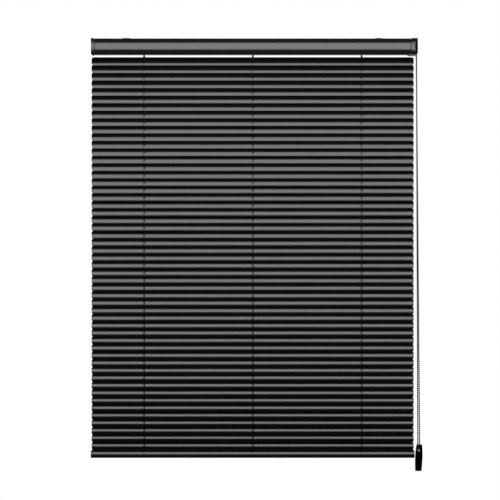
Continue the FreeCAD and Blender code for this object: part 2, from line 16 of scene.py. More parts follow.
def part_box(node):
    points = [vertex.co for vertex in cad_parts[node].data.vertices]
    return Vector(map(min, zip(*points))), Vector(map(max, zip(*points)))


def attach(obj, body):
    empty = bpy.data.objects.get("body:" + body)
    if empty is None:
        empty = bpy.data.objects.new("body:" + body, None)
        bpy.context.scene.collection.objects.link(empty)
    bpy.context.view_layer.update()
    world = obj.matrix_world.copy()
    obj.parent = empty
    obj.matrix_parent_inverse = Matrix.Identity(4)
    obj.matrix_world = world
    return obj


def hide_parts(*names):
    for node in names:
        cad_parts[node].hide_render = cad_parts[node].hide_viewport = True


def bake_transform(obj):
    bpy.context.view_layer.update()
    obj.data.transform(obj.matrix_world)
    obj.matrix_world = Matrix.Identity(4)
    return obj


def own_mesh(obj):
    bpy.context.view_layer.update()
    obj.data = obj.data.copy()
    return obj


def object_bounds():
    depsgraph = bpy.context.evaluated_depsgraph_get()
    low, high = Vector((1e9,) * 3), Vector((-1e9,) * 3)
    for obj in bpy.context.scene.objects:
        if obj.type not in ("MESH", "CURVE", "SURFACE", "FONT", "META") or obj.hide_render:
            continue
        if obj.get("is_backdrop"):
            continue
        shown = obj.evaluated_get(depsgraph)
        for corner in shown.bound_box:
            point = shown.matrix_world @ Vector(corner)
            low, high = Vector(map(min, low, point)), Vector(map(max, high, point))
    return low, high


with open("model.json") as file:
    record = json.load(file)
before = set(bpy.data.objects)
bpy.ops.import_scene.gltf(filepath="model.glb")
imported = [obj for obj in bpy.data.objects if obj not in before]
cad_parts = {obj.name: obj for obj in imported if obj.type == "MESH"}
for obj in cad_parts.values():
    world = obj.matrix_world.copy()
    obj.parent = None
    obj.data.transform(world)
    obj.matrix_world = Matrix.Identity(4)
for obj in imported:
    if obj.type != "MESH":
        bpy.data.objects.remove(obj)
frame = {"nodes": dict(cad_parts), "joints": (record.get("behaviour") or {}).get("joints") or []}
cad_low, cad_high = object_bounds()
nodes = frame["nodes"]
joints = {joint["name"]: joint for joint in frame["joints"]}
slat_names = sorted(name for name in nodes if name.startswith("slat_"))
print(len(nodes), "nodes,", len(slat_names), "of them slats")

# %% [markdown]
# ## Sizes
# Lengths and places are read from the frame's boxes where the frame has them. The rest are the standard
# sizes of such a blind: 25 mm slats, 4.5 mm beads at 6 mm pitch, and a rail wall of 1.2 mm.

# %% Sizes that several pieces share
MM, TINY = 0.001, 0.00001
SLAT_WIDTH, SLAT_CROWN, SLAT_GAUGE = 25 * MM, 2 * MM, 0.21 * MM
CLOSED_TILT = math.radians(70)
SLOT_LENGTH, SLOT_WIDTH, SLAT_CORNER = 14.5 * MM, 2.4 * MM, 7 * MM
LADDERS = (-310 * MM, 0.0, 310 * MM)
# The front string and the lift cord stand this far beside the middle of their ladder, along X.
STRING_BESIDE, CORD_BESIDE = -1.0 * MM, 1.6 * MM
STRING_RADIUS, CORD_RADIUS, RUNG_RADIUS = 0.6 * MM, 0.9 * MM, 0.35 * MM
FRONT_WIDTH, BACK_WIDTH = 1.2 * MM, 5.2 * MM
BEAD_RADIUS, BEAD_PITCH, CORE_RADIUS = 2.25 * MM, 6 * MM, 1.3 * MM
RAIL_WALL, BOW_RADIUS = 1.2 * MM, 67 * MM

slat_low, slat_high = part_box(slat_names[0])
slat_half = (slat_high.x - slat_low.x) / 2
centres = [Vector(joints[name + "_tilt"]["pos_m"]) for name in slat_names]
rail_low, rail_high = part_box("head_rail")
caps_low, caps_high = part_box("rail_end_caps")
base_centre = Vector(joints["base_tilt"]["pos_m"])
swing_point = Vector(joints["chain_swing"]["pos_m"])
shaft_z = joints["drive_turn"]["pos_m"][2]
print("slat pitch", round((centres[0] - centres[1]).z * 1000, 2), "mm")

# %% [markdown]
# ## Helpers for selecting
# Blender's mesh operators act on whatever is selected. A script can't click, so each helper says exactly
# what it takes: one object, and in it the points or edges whose places pass a test. The test reads like a
# description of the shape, and it still holds when a size changes.


# %% Selecting an object, its points or its edges
def only(obj):
    """Selects one object and makes it the active one."""
    bpy.ops.object.select_all(action="DESELECT")
    obj.select_set(True)
    bpy.context.view_layer.objects.active = obj
    return obj


def edit(obj):
    """Opens one object's mesh for editing."""
    only(obj)
    bpy.ops.object.mode_set(mode="EDIT")


def done():
    """Back to object mode, which writes the edits to the mesh."""
    bpy.ops.object.mode_set(mode="OBJECT")


def pick(test):
    """In edit mode, selects the points whose place passes the test, and what lies between them."""
    bpy.ops.mesh.select_mode(type="VERT")
    bpy.ops.mesh.select_all(action="DESELECT")
    cage = bmesh.from_edit_mesh(bpy.context.object.data)
    for point in cage.verts:
        point.select = test(point.co)
    cage.select_flush(True)
    bmesh.update_edit_mesh(bpy.context.object.data)


def pick_edges(test):
    """In edit mode, selects the edges whose two ends pass the test."""
    bpy.ops.mesh.select_mode(type="EDGE")
    bpy.ops.mesh.select_all(action="DESELECT")
    cage = bmesh.from_edit_mesh(bpy.context.object.data)
    for edge in cage.edges:
        edge.select = test(edge.verts[0].co, edge.verts[1].co)
    bmesh.update_edit_mesh(bpy.context.object.data)


# %% [markdown]
# ## Helpers for shapes
# Every piece starts as a box, a cylinder or a single edge. The edge is for what is rolled or extruded in a
# factory, because spinning and extruding it draws the section step by step. Slots and recesses are cut with
# booleans, because a cutter's place and size are easy to read and to change.


# %% Two starting shapes
def long_edge(name, left, right, y, z):
    """A mesh of one edge along X, cut down from a plane: the start of a rolled or extruded length."""
    bpy.ops.mesh.primitive_plane_add(size=1)
    obj = bpy.context.object
    obj.name = obj.data.name = name
    edit(obj)
    pick(lambda p: p.y > 0)
    bpy.ops.mesh.delete(type="VERT")
    pick(lambda p: p.x < 0)
    bpy.ops.transform.translate(value=(left + 0.5, 0, 0))
    pick(lambda p: p.x > left / 2 + right / 2)
    bpy.ops.transform.translate(value=(right - 0.5, 0, 0))
    bpy.ops.mesh.select_all(action="SELECT")
    bpy.ops.transform.translate(value=(0, y + 0.5, z))
    done()
    return obj


def settle(obj):
    """Puts an object's place, turn and size into its mesh."""
    only(obj)
    bpy.ops.object.transform_apply(location=True, rotation=True, scale=True)


def block(name, low, high):
    """A box between two corners."""
    low, high = Vector(low), Vector(high)
    bpy.ops.mesh.primitive_cube_add(size=1, location=(low + high) / 2)
    obj = bpy.context.object
    obj.name = obj.data.name = name
    obj.scale = high - low
    settle(obj)
    return obj


# %% Modifiers and cuts
def apply_modifiers(obj):
    """Makes every modifier of an object part of its mesh."""
    only(obj)
    for modifier in list(obj.modifiers):
        bpy.ops.object.modifier_apply(modifier=modifier.name)


def cut_away(obj, cutter, keep="DIFFERENCE"):
    """Boolean with a closed cutter, which is then removed."""
    modifier = obj.modifiers.new("cut", "BOOLEAN")
    modifier.operation, modifier.object, modifier.solver = keep, cutter, "EXACT"
    apply_modifiers(obj)
    bpy.data.objects.remove(cutter)


def round_edges(obj, width, segments=3, angle=30):
    """Bevels the edges that are sharper than an angle."""
    bevel = obj.modifiers.new("round", "BEVEL")
    bevel.width, bevel.segments = width, segments
    bevel.limit_method, bevel.angle_limit = "ANGLE", math.radians(angle)
    apply_modifiers(obj)


# %% Shading, joining and handing over a piece
def smooth(obj, angle=35):
    """Smooth shading, but for edges sharper than the angle."""
    only(obj)
    bpy.ops.object.shade_smooth_by_angle(angle=math.radians(angle))


def even_shading(obj):
    """Leans normals towards the larger faces, so that a flat face beside a rounding looks flat."""
    modifier = obj.modifiers.new("even_shading", "WEIGHTED_NORMAL")
    modifier.keep_sharp = True
    apply_modifiers(obj)


def outward(obj):
    """Merges doubles and turns every face of a closed shape outwards."""
    edit(obj)
    bpy.ops.mesh.select_all(action="SELECT")
    bpy.ops.mesh.remove_doubles(threshold=1e-6)
    bpy.ops.mesh.normals_make_consistent(inside=False)
    done()


def joined(name, parts):
    """Several objects made one piece."""
    bpy.ops.object.select_all(action="DESELECT")
    for part in parts:
        part.select_set(True)
    bpy.context.view_layer.objects.active = parts[0]
    bpy.ops.object.join()
    obj = bpy.context.object
    obj.name = obj.data.name = name
    return obj


def finish_piece(obj, body, material, slot, *replaced):
    """Gives a piece its finish, the body it rides on, and the nodes whose looks it takes over."""
    obj.data.materials.clear()
    obj.data.materials.append(material)
    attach(obj, body)
    if replaced:
        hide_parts(*replaced)
    return obj


# %% [markdown]
# ## Camera
# The blind is seen square on, at the height of its middle. An orthographic camera would keep its lines
# parallel. A real lens from far away does nearly the same and still behaves like a lens, so that is used.

# %% Camera
VIEW_WIDTH, CAMERA_DISTANCE, SENSOR = 1.425, 25.0, 36.0
VIEW_X, VIEW_Z = -0.0076, -0.6040
bpy.ops.object.camera_add(location=(VIEW_X, -CAMERA_DISTANCE, VIEW_Z), rotation=(math.pi / 2, 0, 0))
camera = bpy.context.object
camera.data.sensor_width = SENSOR
camera.data.lens = SENSOR * CAMERA_DISTANCE / VIEW_WIDTH
bpy.context.scene.camera = camera
print("lens", round(camera.data.lens), "mm, seen from", CAMERA_DISTANCE, "m")


# %% [markdown]
# ## Finishes
# Everything on this blind is black, so the pieces are told apart by gloss and by relief. One plain black
# would look like a drawing. Each material is a Principled shader with small-scale noise of its own, on the
# piece's own coordinates, so that it needs no picture file and stays put when the piece moves.


# %% A plain material, and noise to break it up
def new_material(name, colour, roughness, metallic=0.0, specular=0.5):
    """A Principled material, with its node tree and shader for what comes next."""
    material = bpy.data.materials.new(name)
    material.use_nodes = True
    shader = material.node_tree.nodes["Principled BSDF"]
    shader.inputs["Base Color"].default_value = (*colour, 1)
    shader.inputs["Roughness"].default_value = roughness
    shader.inputs["Metallic"].default_value = metallic
    shader.inputs["Specular IOR Level"].default_value = specular
    return material, material.node_tree, shader


def noise(tree, scale, stretch=(1, 1, 1), detail=3.0):
    """Noise on the piece's own coordinates, stretched by the mapping."""
    place = tree.nodes.new("ShaderNodeTexCoord")
    mapping = tree.nodes.new("ShaderNodeMapping")
    mapping.inputs["Scale"].default_value = stretch
    texture = tree.nodes.new("ShaderNodeTexNoise")
    texture.inputs["Scale"].default_value = scale
    texture.inputs["Detail"].default_value = detail
    tree.links.new(place.outputs["Object"], mapping.inputs["Vector"])
    tree.links.new(mapping.outputs["Vector"], texture.inputs["Vector"])
    return texture.outputs["Fac"]


def ranged(tree, value, low, high):
    """Maps the middle of a noise to low..high."""
    node = tree.nodes.new("ShaderNodeMapRange")
    node.inputs["From Min"].default_value, node.inputs["From Max"].default_value = 0.3, 0.7
    node.inputs["To Min"].default_value, node.inputs["To Max"].default_value = low, high
    tree.links.new(value, node.inputs["Value"])
    return node.outputs["Result"]


def tint(tree, value, dark, light):
    """A colour between two, by a value from 0 to 1."""
    ramp = tree.nodes.new("ShaderNodeValToRGB")
    ramp.color_ramp.elements[0].position, ramp.color_ramp.elements[1].position = 0.3, 0.7
    ramp.color_ramp.elements[0].color = (*dark, 1)
    ramp.color_ramp.elements[1].color = (*light, 1)
    tree.links.new(value, ramp.inputs["Fac"])
    return ramp.outputs["Color"]


def relief(tree, shader, heights, distance, strength):
    """Bump from several height values, chained one on another."""
    last = None
    for height, share in zip(heights, strength):
        bump = tree.nodes.new("ShaderNodeBump")
        bump.inputs["Distance"].default_value = distance
        bump.inputs["Strength"].default_value = share
        tree.links.new(height, bump.inputs["Height"])
        if last is not None:
            tree.links.new(last, bump.inputs["Normal"])
        last = bump.outputs["Normal"]
    tree.links.new(last, shader.inputs["Normal"])


# %% [markdown]
# Stove enamel on rolled aluminium keeps fine lines along the strip and a faint orange peel, so one noise is
# stretched along X and one isn't. Moulded plastic takes the fine grain of its steel mould. The cord is a
# plait, which two waves at a slant give more cheaply than modelled threads. Drawn steel has lines only.


# %% Enamel and plastic
def enamel(name, shade, roughness):
    """Black stove enamel: rolling lines along X, orange peel, and a little unevenness in its gloss."""
    dark, light = (shade * 0.85,) * 3, (shade * 1.2, shade * 1.2, shade * 1.22)
    material, tree, shader = new_material(name, dark, roughness)
    lines = noise(tree, scale=420, stretch=(0.012, 1, 1), detail=5)
    peel = noise(tree, scale=1400, detail=2)
    cloud = noise(tree, scale=9, stretch=(0.35, 1, 1))
    tree.links.new(tint(tree, cloud, dark, light), shader.inputs["Base Color"])
    tree.links.new(ranged(tree, lines, roughness * 0.88, roughness * 1.14), shader.inputs["Roughness"])
    relief(tree, shader, (lines, peel), distance=0.04 * MM, strength=(0.25, 0.2))
    return material


def moulded(name, shade, roughness, grain=0.25):
    """Moulded plastic: a fine spark-eroded grain and slight colour clouds."""
    dark, light = (shade * 0.85,) * 3, (shade * 1.2,) * 3
    material, tree, shader = new_material(name, dark, roughness)
    fine = noise(tree, scale=2600, detail=2)
    cloud = noise(tree, scale=40)
    tree.links.new(tint(tree, cloud, dark, light), shader.inputs["Base Color"])
    tree.links.new(ranged(tree, fine, roughness * 0.85, roughness * 1.2), shader.inputs["Roughness"])
    relief(tree, shader, (fine,), distance=0.06 * MM, strength=(grain,))
    return material


# %% Braid and steel
def braided(name, shade):
    """Braided polyester: two waves that cross at a slant give the plait, and fibres fray its gloss."""
    material, tree, shader = new_material(name, (shade,) * 3, 0.85, specular=0.15)
    place = tree.nodes.new("ShaderNodeTexCoord")
    heights = []
    for lean in (1, -1):
        mapping = tree.nodes.new("ShaderNodeMapping")
        mapping.inputs["Rotation"].default_value = (0, lean * math.radians(35), 0)
        wave = tree.nodes.new("ShaderNodeTexWave")
        wave.bands_direction = "Z"
        wave.inputs["Scale"].default_value = 420
        tree.links.new(place.outputs["Object"], mapping.inputs["Vector"])
        tree.links.new(mapping.outputs["Vector"], wave.inputs["Vector"])
        heights.append(wave.outputs["Fac"])
    fibre = noise(tree, scale=3000, detail=3)
    tree.links.new(tint(tree, fibre, (shade * 0.6,) * 3, (shade * 1.5,) * 3), shader.inputs["Base Color"])
    relief(tree, shader, (*heights, fibre), distance=0.2 * MM, strength=(0.5, 0.5, 0.4))
    return material


def bare_metal(name, colour, roughness):
    """Drawn steel: lines along X in the gloss and the relief."""
    material, tree, shader = new_material(name, colour, roughness, metallic=1.0)
    lines = noise(tree, scale=900, stretch=(0.02, 1, 1), detail=4)
    tree.links.new(ranged(tree, lines, roughness * 0.7, roughness * 1.3), shader.inputs["Roughness"])
    relief(tree, shader, (lines,), distance=0.05 * MM, strength=(0.3,))
    return material


# %% The finishes of this blind
slat_enamel = enamel("slat_enamel", shade=0.004, roughness=0.15)
rail_enamel = enamel("rail_enamel", shade=0.010, roughness=0.13)
cap_plastic = moulded("cap_plastic", shade=0.007, roughness=0.18, grain=0.08)
cradle_plastic = moulded("cradle_plastic", shade=0.035, roughness=0.5)
left_cap_plastic = moulded("left_cap_plastic", shade=0.007, roughness=0.24, grain=0.08)
# The seams' plastic is darker than the caps': painted shade for the step where a cap meets the rail.
seam_plastic = moulded("seam_plastic", shade=0.003, roughness=0.7)
bead_plastic = moulded("bead_plastic", shade=0.012, roughness=0.3, grain=0.1)
weight_plastic = moulded("weight_plastic", shade=0.004, roughness=0.15, grain=0.05)
braid = braided("braid", shade=0.008)
shaft_steel = bare_metal("shaft_steel", colour=(0.46, 0.46, 0.47), roughness=0.32)
print(len(bpy.data.materials), "materials with the frame's own")


# %% [markdown]
# ## Slats
# A slat is a strip of aluminium, rolled to a shallow crown. A bent plane or a sliced cylinder would do, but
# spinning one long edge about a line below it gives the roll in one step, and the crown is one number.
# Solidify gives the gauge. The slots for the lift cords are cut through, and the corners rounded.


# %% The rolled strip
SPIN_STEPS = 20


def rolled_strip():
    """A slat lying flat, crowned upwards, with the middle of its chord at the origin."""
    half = SLAT_WIDTH / 2
    radius = (half ** 2 + SLAT_CROWN ** 2) / (2 * SLAT_CROWN)
    sweep = 2 * math.asin(half / radius)
    strip = long_edge("slat", -slat_half, slat_half, -half, 0)
    edit(strip)
    bpy.ops.mesh.select_all(action="SELECT")
    bpy.ops.mesh.spin(steps=SPIN_STEPS, angle=sweep, center=(0, 0, SLAT_CROWN - radius), axis=(1, 0, 0))
    bpy.ops.mesh.select_all(action="SELECT")
    bpy.ops.mesh.remove_doubles(threshold=1e-7)
    bpy.ops.mesh.normals_make_consistent(inside=False)
    done()
    wall = strip.modifiers.new("gauge", "SOLIDIFY")
    wall.thickness, wall.offset = SLAT_GAUGE, 0
    apply_modifiers(strip)
    return strip


# %% Corners and slots
CUTTER_HALF = 10 * MM
SLOT_ROUND, TRIM_OUTSIDE = SLOT_WIDTH * 0.45, 0.1 * MM


def rounded_prism(name, half_x, half_y, radius, x=0.0, segments=6):
    """An upright block with rounded corners, to cut the strip with."""
    prism = block(name, (x - half_x, -half_y, -CUTTER_HALF), (x + half_x, half_y, CUTTER_HALF))
    edit(prism)
    pick_edges(lambda a, b: abs(a.z - b.z) > CUTTER_HALF)
    bpy.ops.mesh.bevel(offset=radius, segments=segments, affect="EDGES")
    done()
    return prism


strip = rolled_strip()
cut_away(strip, rounded_prism("plan", slat_half, SLAT_WIDTH / 2 + TRIM_OUTSIDE, SLAT_CORNER), "INTERSECT")
for x in LADDERS:
    slot = rounded_prism("slot", SLOT_WIDTH / 2, SLOT_LENGTH / 2, SLOT_ROUND, x + CORD_BESIDE, 4)
    cut_away(strip, slot)
smooth(strip, 40)
crown = max(point.co.z for point in strip.data.vertices)
print("strip", len(strip.data.polygons), "faces, crown", round(crown * 1000, 2), "mm")

# %% [markdown]
# No two slats of a hanging blind lie quite alike, and the first few stand a little more open than the rest.
# A perfectly even stack would look drawn with a ruler. So the strip is copied for each slat, and each copy
# leans by up to half a degree more or less, from a fixed seed, which keeps every run the same.

# %% One copy for each slat
TOP_OPENING, FADING, UNEVEN = math.radians(2.6), 0.6, 0.5
leans = []
random.seed(7)
for below_top, (name, centre) in enumerate(zip(slat_names, centres)):
    slat = strip.copy()
    slat.data = strip.data.copy()
    slat.name = slat.data.name = name + "_strip"
    bpy.context.collection.objects.link(slat)
    lean = CLOSED_TILT + math.radians(random.uniform(-UNEVEN, UNEVEN)) - TOP_OPENING * FADING ** below_top
    slat.data.transform(Matrix.Translation(centre) @ Matrix.Rotation(lean, 4, "X"))
    finish_piece(slat, name + "_body", slat_enamel, "slat_enamel", name)
    leans.append(math.degrees(lean))
bpy.data.objects.remove(strip)
print(len(leans), "slats, leaning", round(min(leans), 1), "to", round(max(leans), 1), "degrees")


# %% [markdown]
# ## Head rail
# The rail is an aluminium extrusion. A boolean of boxes would miss its bowed front, so its section is drawn
# as the slats' is: a long edge is spun into the bow, then extruded round the lip, the floor, the back and the
# groove in the top. A second skin, one wall further in, is taken away from the first and leaves the wall.


# %% The rail's section
BOW_FRONT, BOW_DROP, LIP = -22 * MM, 26.7 * MM, 1.8 * MM
bow_y = BOW_FRONT + BOW_RADIUS
bow_z = rail_high.z - BOW_DROP


def bow(z, inset):
    """Y of the bowed front at a height, for a skin this far inside the outer one."""
    return bow_y - math.sqrt((BOW_RADIUS - inset) ** 2 - (z - bow_z) ** 2)


def section_skin(name, left, right, inset, top, bottom, steps=36, groove=()):
    """The bowed front by spin, and then the lip, floor, back and top by extruding the last edge."""
    radius, lip = BOW_RADIUS - inset, rail_low.z + LIP
    start_angle, end_angle = math.asin((top - bow_z) / radius), math.asin((lip - bow_z) / radius)
    back = rail_high.y - inset
    skin = long_edge(name, left, right, bow(top, inset), top)
    edit(skin)
    bpy.ops.mesh.select_all(action="SELECT")
    bpy.ops.mesh.spin(steps=steps, angle=start_angle - end_angle,
                      center=(0, bow_y, bow_z), axis=(-1, 0, 0))
    y, z = bow(lip, inset), lip
    for to_y, to_z in ((y, bottom), (back, bottom), (back, top), *groove, (bow(top, inset), top)):
        bpy.ops.mesh.extrude_edges_move(TRANSFORM_OT_translate={"value": (0, to_y - y, to_z - z)})
        y, z = to_y, to_z
    bpy.ops.mesh.select_all(action="SELECT")
    bpy.ops.mesh.remove_doubles(threshold=1e-6)
    done()
    return skin


def close_ends(skin, left, right):
    """Fills both open ends of one skin."""
    edit(skin)
    for x in (left, right):
        pick(lambda p: abs(p.x - x) < TINY)
        bpy.ops.mesh.edge_face_add()
    done()
    outward(skin)


# %% The groove in the top, outside and inside
GROOVE_MOUTH, GROOVE_INSIDE, GROOVE_DEPTH = 8 * MM, 11 * MM, 7.5 * MM
groove_low = rail_high.z - GROOVE_DEPTH
lips = rail_high.z - RAIL_WALL
groove_outline = [(GROOVE_MOUTH, rail_high.z), (GROOVE_MOUTH, lips),
                  (GROOVE_INSIDE, lips), (GROOVE_INSIDE, groove_low),
                  (-GROOVE_INSIDE, groove_low), (-GROOVE_INSIDE, lips),
                  (-GROOVE_MOUTH, lips), (-GROOVE_MOUTH, rail_high.z)]
wall_y, wall_low = GROOVE_INSIDE + RAIL_WALL, groove_low - RAIL_WALL
inner_outline = [(wall_y, lips), (wall_y, wall_low), (-wall_y, wall_low), (-wall_y, lips)]
print("groove", len(groove_outline), "corners outside,", len(inner_outline), "inside")

# %% [markdown]
# Slots in the floor let the ladders' strings and cords through. They are cut last, through the finished wall.

# %% The rail, hollow and slotted
BEYOND = 10 * MM  # the cutter for the hollow runs past both ends
FLOOR_SLOT_X, FLOOR_SLOT_Y, FLOOR_SLOT_DEEP = 13 * MM, 12.5 * MM, 2 * MM
rail = section_skin("head_rail_extrusion", rail_low.x, rail_high.x, 0, rail_high.z, rail_low.z,
                    groove=groove_outline)
close_ends(rail, rail_low.x, rail_high.x)
hollow = section_skin("hollow", rail_low.x - BEYOND, rail_high.x + BEYOND, RAIL_WALL, lips,
                      rail_low.z + RAIL_WALL, groove=inner_outline)
close_ends(hollow, rail_low.x - BEYOND, rail_high.x + BEYOND)
cut_away(rail, hollow)
for x in LADDERS:
    cut_away(rail, block("floor_slot", (x - FLOOR_SLOT_X, -FLOOR_SLOT_Y, rail_low.z - MM),
                         (x + FLOOR_SLOT_X, FLOOR_SLOT_Y, rail_low.z + FLOOR_SLOT_DEEP)))
smooth(rail, 20)
finish_piece(rail, "head", rail_enamel, "rail_enamel", "head_rail")
print("rail", len(rail.data.polygons), "faces")

# %% [markdown]
# ## End caps
# Both caps are mouldings with the rail's own outline, a little proud of it, so the rail's section is drawn
# again, a little larger. The left one has its lower outer corner cut off at a slant, and beside the rail its
# top steps down to the rail's own. One bisect makes the slant, where a bevel would be the same both ways.


# %% The left cap
CAP_PROUD, CAP_ROUND = 0.8 * MM, 0.7 * MM
CHAMFER_WIDE, CHAMFER_HIGH = 9.5 * MM, 11 * MM
SHOULDER, NECK_LONG, FAR = 4 * MM, 1.8 * MM, 60 * MM


def cap_block(name, left, right):
    """The rail's outline made a little larger all round, as one closed length."""
    cap = section_skin(name, left, right, -CAP_PROUD, caps_high.z, caps_low.z, steps=24)
    close_ends(cap, left, right)
    return cap


left_cap = cap_block("left_cap", caps_low.x, rail_low.x - NECK_LONG)
shoulder = block("shoulder", (rail_low.x - SHOULDER, -FAR, rail_high.z), (FAR, FAR, FAR))
edit(left_cap)
bpy.ops.mesh.select_all(action="SELECT")
# A known fault: this plane's normal is far shorter than one, which widens what counts as on the plane. So
# the lowest stretch of the bowed front stays as a thin sheet, where the slant should have cut it off.
bpy.ops.mesh.bisect(plane_co=(caps_low.x, 0, caps_low.z + CHAMFER_HIGH),
                    plane_no=(-CHAMFER_HIGH, 0, -CHAMFER_WIDE), use_fill=True, clear_outer=True)
done()
cut_away(left_cap, shoulder)
outward(left_cap)
round_edges(left_cap, CAP_ROUND, 3, 30)
smooth(left_cap, 30)
finish_piece(left_cap, "head", left_cap_plastic, "cap_plastic")
print("left cap", len(left_cap.data.polygons), "faces")

# %% [markdown]
# The right cap holds the chain drive, so it is a thicker block with two large round corners: the lower outer
# one, seen from the front, and the front outer one, seen from above. Bevelling the bowed block itself would
# tangle where they meet. Instead the block is cut to two boxes, each with one corner already round.


# %% The right cap, outside
CORNER, FRONT_CORNER, CAP_FRONT = 12 * MM, 11 * MM, -22.7 * MM


def keep_inside(obj, low, radius, segments, axis):
    """Cuts an object to a box from its low corner up, the box's outer edge on one low side rounded."""
    envelope = block("envelope", low, (caps_high.x, FAR, FAR))
    edit(envelope)
    pick_edges(lambda a, b: min(a.x, b.x) > caps_high.x - TINY and max(a[axis], b[axis]) < low[axis] + TINY)
    bpy.ops.mesh.bevel(offset=radius, segments=segments, affect="EDGES")
    done()
    cut_away(obj, envelope, "INTERSECT")


right_cap = cap_block("right_cap", rail_high.x + NECK_LONG, caps_high.x)
keep_inside(right_cap, (rail_high.x - FAR, -FAR, caps_low.z), CORNER, 12, 2)
keep_inside(right_cap, (rail_high.x - FAR, CAP_FRONT, -FAR * 2), FRONT_CORNER, 10, 1)
round_edges(right_cap, CAP_ROUND, 3, 40)
print("right cap", len(right_cap.data.polygons), "faces before its rooms")

# %% [markdown]
# Inside the right cap are a room for the sprocket and a slot down through the floor for the chain. Both are
# boxes with a rounded front corner, so that the wall stays whole behind the cap's own round corner. A tongue
# from the cap reaches under the rail.

# %% The right cap, inside
SPROCKET, CAP_WALL, SPACE_CORNER, CHAIN_PLAY = 15.3 * MM, 1.2 * MM, 5 * MM, 0.3 * MM
TONGUE_LONG, TONGUE_FRONT, TONGUE_BACK, TONGUE_ROUND = 8.7 * MM, -20 * MM, 21 * MM, 0.5 * MM
tongue = block("tongue", (rail_high.x - TONGUE_LONG, TONGUE_FRONT, caps_low.z),
               (rail_high.x + MM, TONGUE_BACK, rail_low.z))
round_edges(tongue, TONGUE_ROUND, 2, 40)
chain_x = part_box("bead_chain")[0].x + BEAD_RADIUS
room = SPROCKET + BEAD_RADIUS + MM
inner = caps_high.x - CAP_WALL
for low, high in (((rail_high.x - MM, -room, shaft_z - room), (inner, room, shaft_z + room)),
                  ((chain_x - BEAD_RADIUS - CHAIN_PLAY, -room, caps_low.z - MM), (inner, room, shaft_z))):
    space = block("space", low, high)
    edit(space)
    pick_edges(lambda a, b: min(a.x, b.x) > inner - TINY and max(a.y, b.y) < 0)
    bpy.ops.mesh.bevel(offset=SPACE_CORNER, segments=6, affect="EDGES")
    done()
    cut_away(right_cap, space)
right_cap = joined("right_cap", [right_cap, tongue])
smooth(right_cap, 30)
even_shading(right_cap)
finish_piece(right_cap, "head", cap_plastic, "cap_plastic", "rail_end_caps")
print("room for the sprocket", round(2 * room * 1000, 1), "mm across")

# %% [markdown]
# Where a cap meets the rail, a narrow step lies in shade and shows as a dark line. A groove cut into the cap
# would do, but it would shine like the cap. So a short neck sits a skin further in, with a matt finish, and
# its colour is made darker than the cap's as painted shade, so that it stays dark from any side.


# %% The seams beside the caps
NECK_DEEP = 1.5 * MM


def neck(left, right):
    """The short step between a cap and the rail's end, which shows as a dark seam."""
    skin = section_skin("neck", left, right, NECK_DEEP, rail_high.z - NECK_DEEP, rail_low.z + NECK_DEEP,
                        steps=24)
    close_ends(skin, left, right)
    return skin


seams = joined("cap_seams", [neck(rail_low.x - NECK_LONG, rail_low.x),
                             neck(rail_high.x, rail_high.x + NECK_LONG)])
# The necks take the painted-shade finish, darker and more matt than the caps.
finish_piece(seams, "head", seam_plastic, "cradle_plastic")
print("seams", round(NECK_LONG * 1000, 1), "mm wide")

# %% [markdown]
# ## Fittings in the rail
# The cradles, the ceiling clips and the drive shaft sit inside the rail. Their shapes are right as they come
# from the frame, and new meshes would only repeat them, so they get a finish and nothing else.

# %% Finishes for the fittings
fittings = {"cradles_and_ceiling_clips": (cradle_plastic, "cradle_plastic"),
            "drive_shaft": (shaft_steel, "shaft_steel")}
for name, (material, slot) in fittings.items():
    nodes[name].data.materials.clear()
    nodes[name].data.materials.append(material)
print("finished as they are:", ", ".join(fittings))


# %% [markdown]
# ## Ladders and lift cords
# Strings and cords hang straight or nearly so. Modelled threads would be heavy over more than a metre, so
# each is a poly curve through a few points with a round bevel, made a mesh. A string that has to look like a
# tape is stretched along X, and the braid's relief gives the threads.


# %% Tubes along a route
def tube_along(name, points, radius, sides=8):
    """A poly curve with a round bevel, turned into a mesh."""
    curve = bpy.data.curves.new(name, "CURVE")
    curve.dimensions = "3D"
    spline = curve.splines.new("POLY")
    spline.points.add(len(points) - 1)
    for point, place in zip(spline.points, points):
        point.co = (*place, 1)
    curve.bevel_depth, curve.bevel_resolution, curve.use_fill_caps = radius, sides // 4, True
    obj = bpy.data.objects.new(name, curve)
    bpy.context.collection.objects.link(obj)
    only(obj)
    bpy.ops.object.convert(target="MESH")
    obj = bpy.context.object
    smooth(obj, 60)
    return obj


def widen(obj, middle, factor):
    """Stretches a string along X about its own middle, which makes a flat tape of it."""
    obj.data.transform(Matrix.Translation((middle, 0, 0)) @ Matrix.Scale(factor, 4, (1, 0, 0))
                       @ Matrix.Translation((-middle, 0, 0)))
    return obj


# %% [markdown]
# Each ladder has a front and a back string. Both come off the drum in the rail, close in beside the slats,
# and end at the bottom rail's edges. The back one is a wide tape, which shows through the slots. It starts
# a spare length above the shaft, because it comes down as the bottom rail turns over.

# %% Where the strings run
DRUM_RADIUS, DRUM_PLAY, STRING_Y = 9.6 * MM, 0.3 * MM, 5.2 * MM
BACK_BESIDE = BACK_WIDTH / 2 - 2.1 * MM
LEAVES_DRUM, TURNS_OUT = 2.7 * MM, 1.5 * MM
END_Y, FRONT_END_DROP, BACK_END_RISE = 9.2 * MM, 10.5 * MM, 9.5 * MM
SPARE, TURN_OVER = 16 * MM, 20.5 * MM
drum_y = DRUM_RADIUS + STRING_RADIUS + DRUM_PLAY
pitch = (centres[0] - centres[1]).z
closes_in = centres[0].z + SLAT_WIDTH / 2
drum_floor = rail_low.z + LEAVES_DRUM
front_route = [(-drum_y, shaft_z), (-drum_y, drum_floor), (-STRING_Y, closes_in),
               (-STRING_Y, base_centre.z + TURNS_OUT), (-END_Y, base_centre.z - FRONT_END_DROP)]
back_route = [(drum_y, shaft_z + SPARE), (drum_y, drum_floor), (STRING_Y, closes_in),
              (STRING_Y, base_centre.z + pitch), (END_Y, base_centre.z + BACK_END_RISE)]
print("front strings", round((shaft_z - front_route[-1][1]) * 1000), "mm from the shaft to their lower ends")


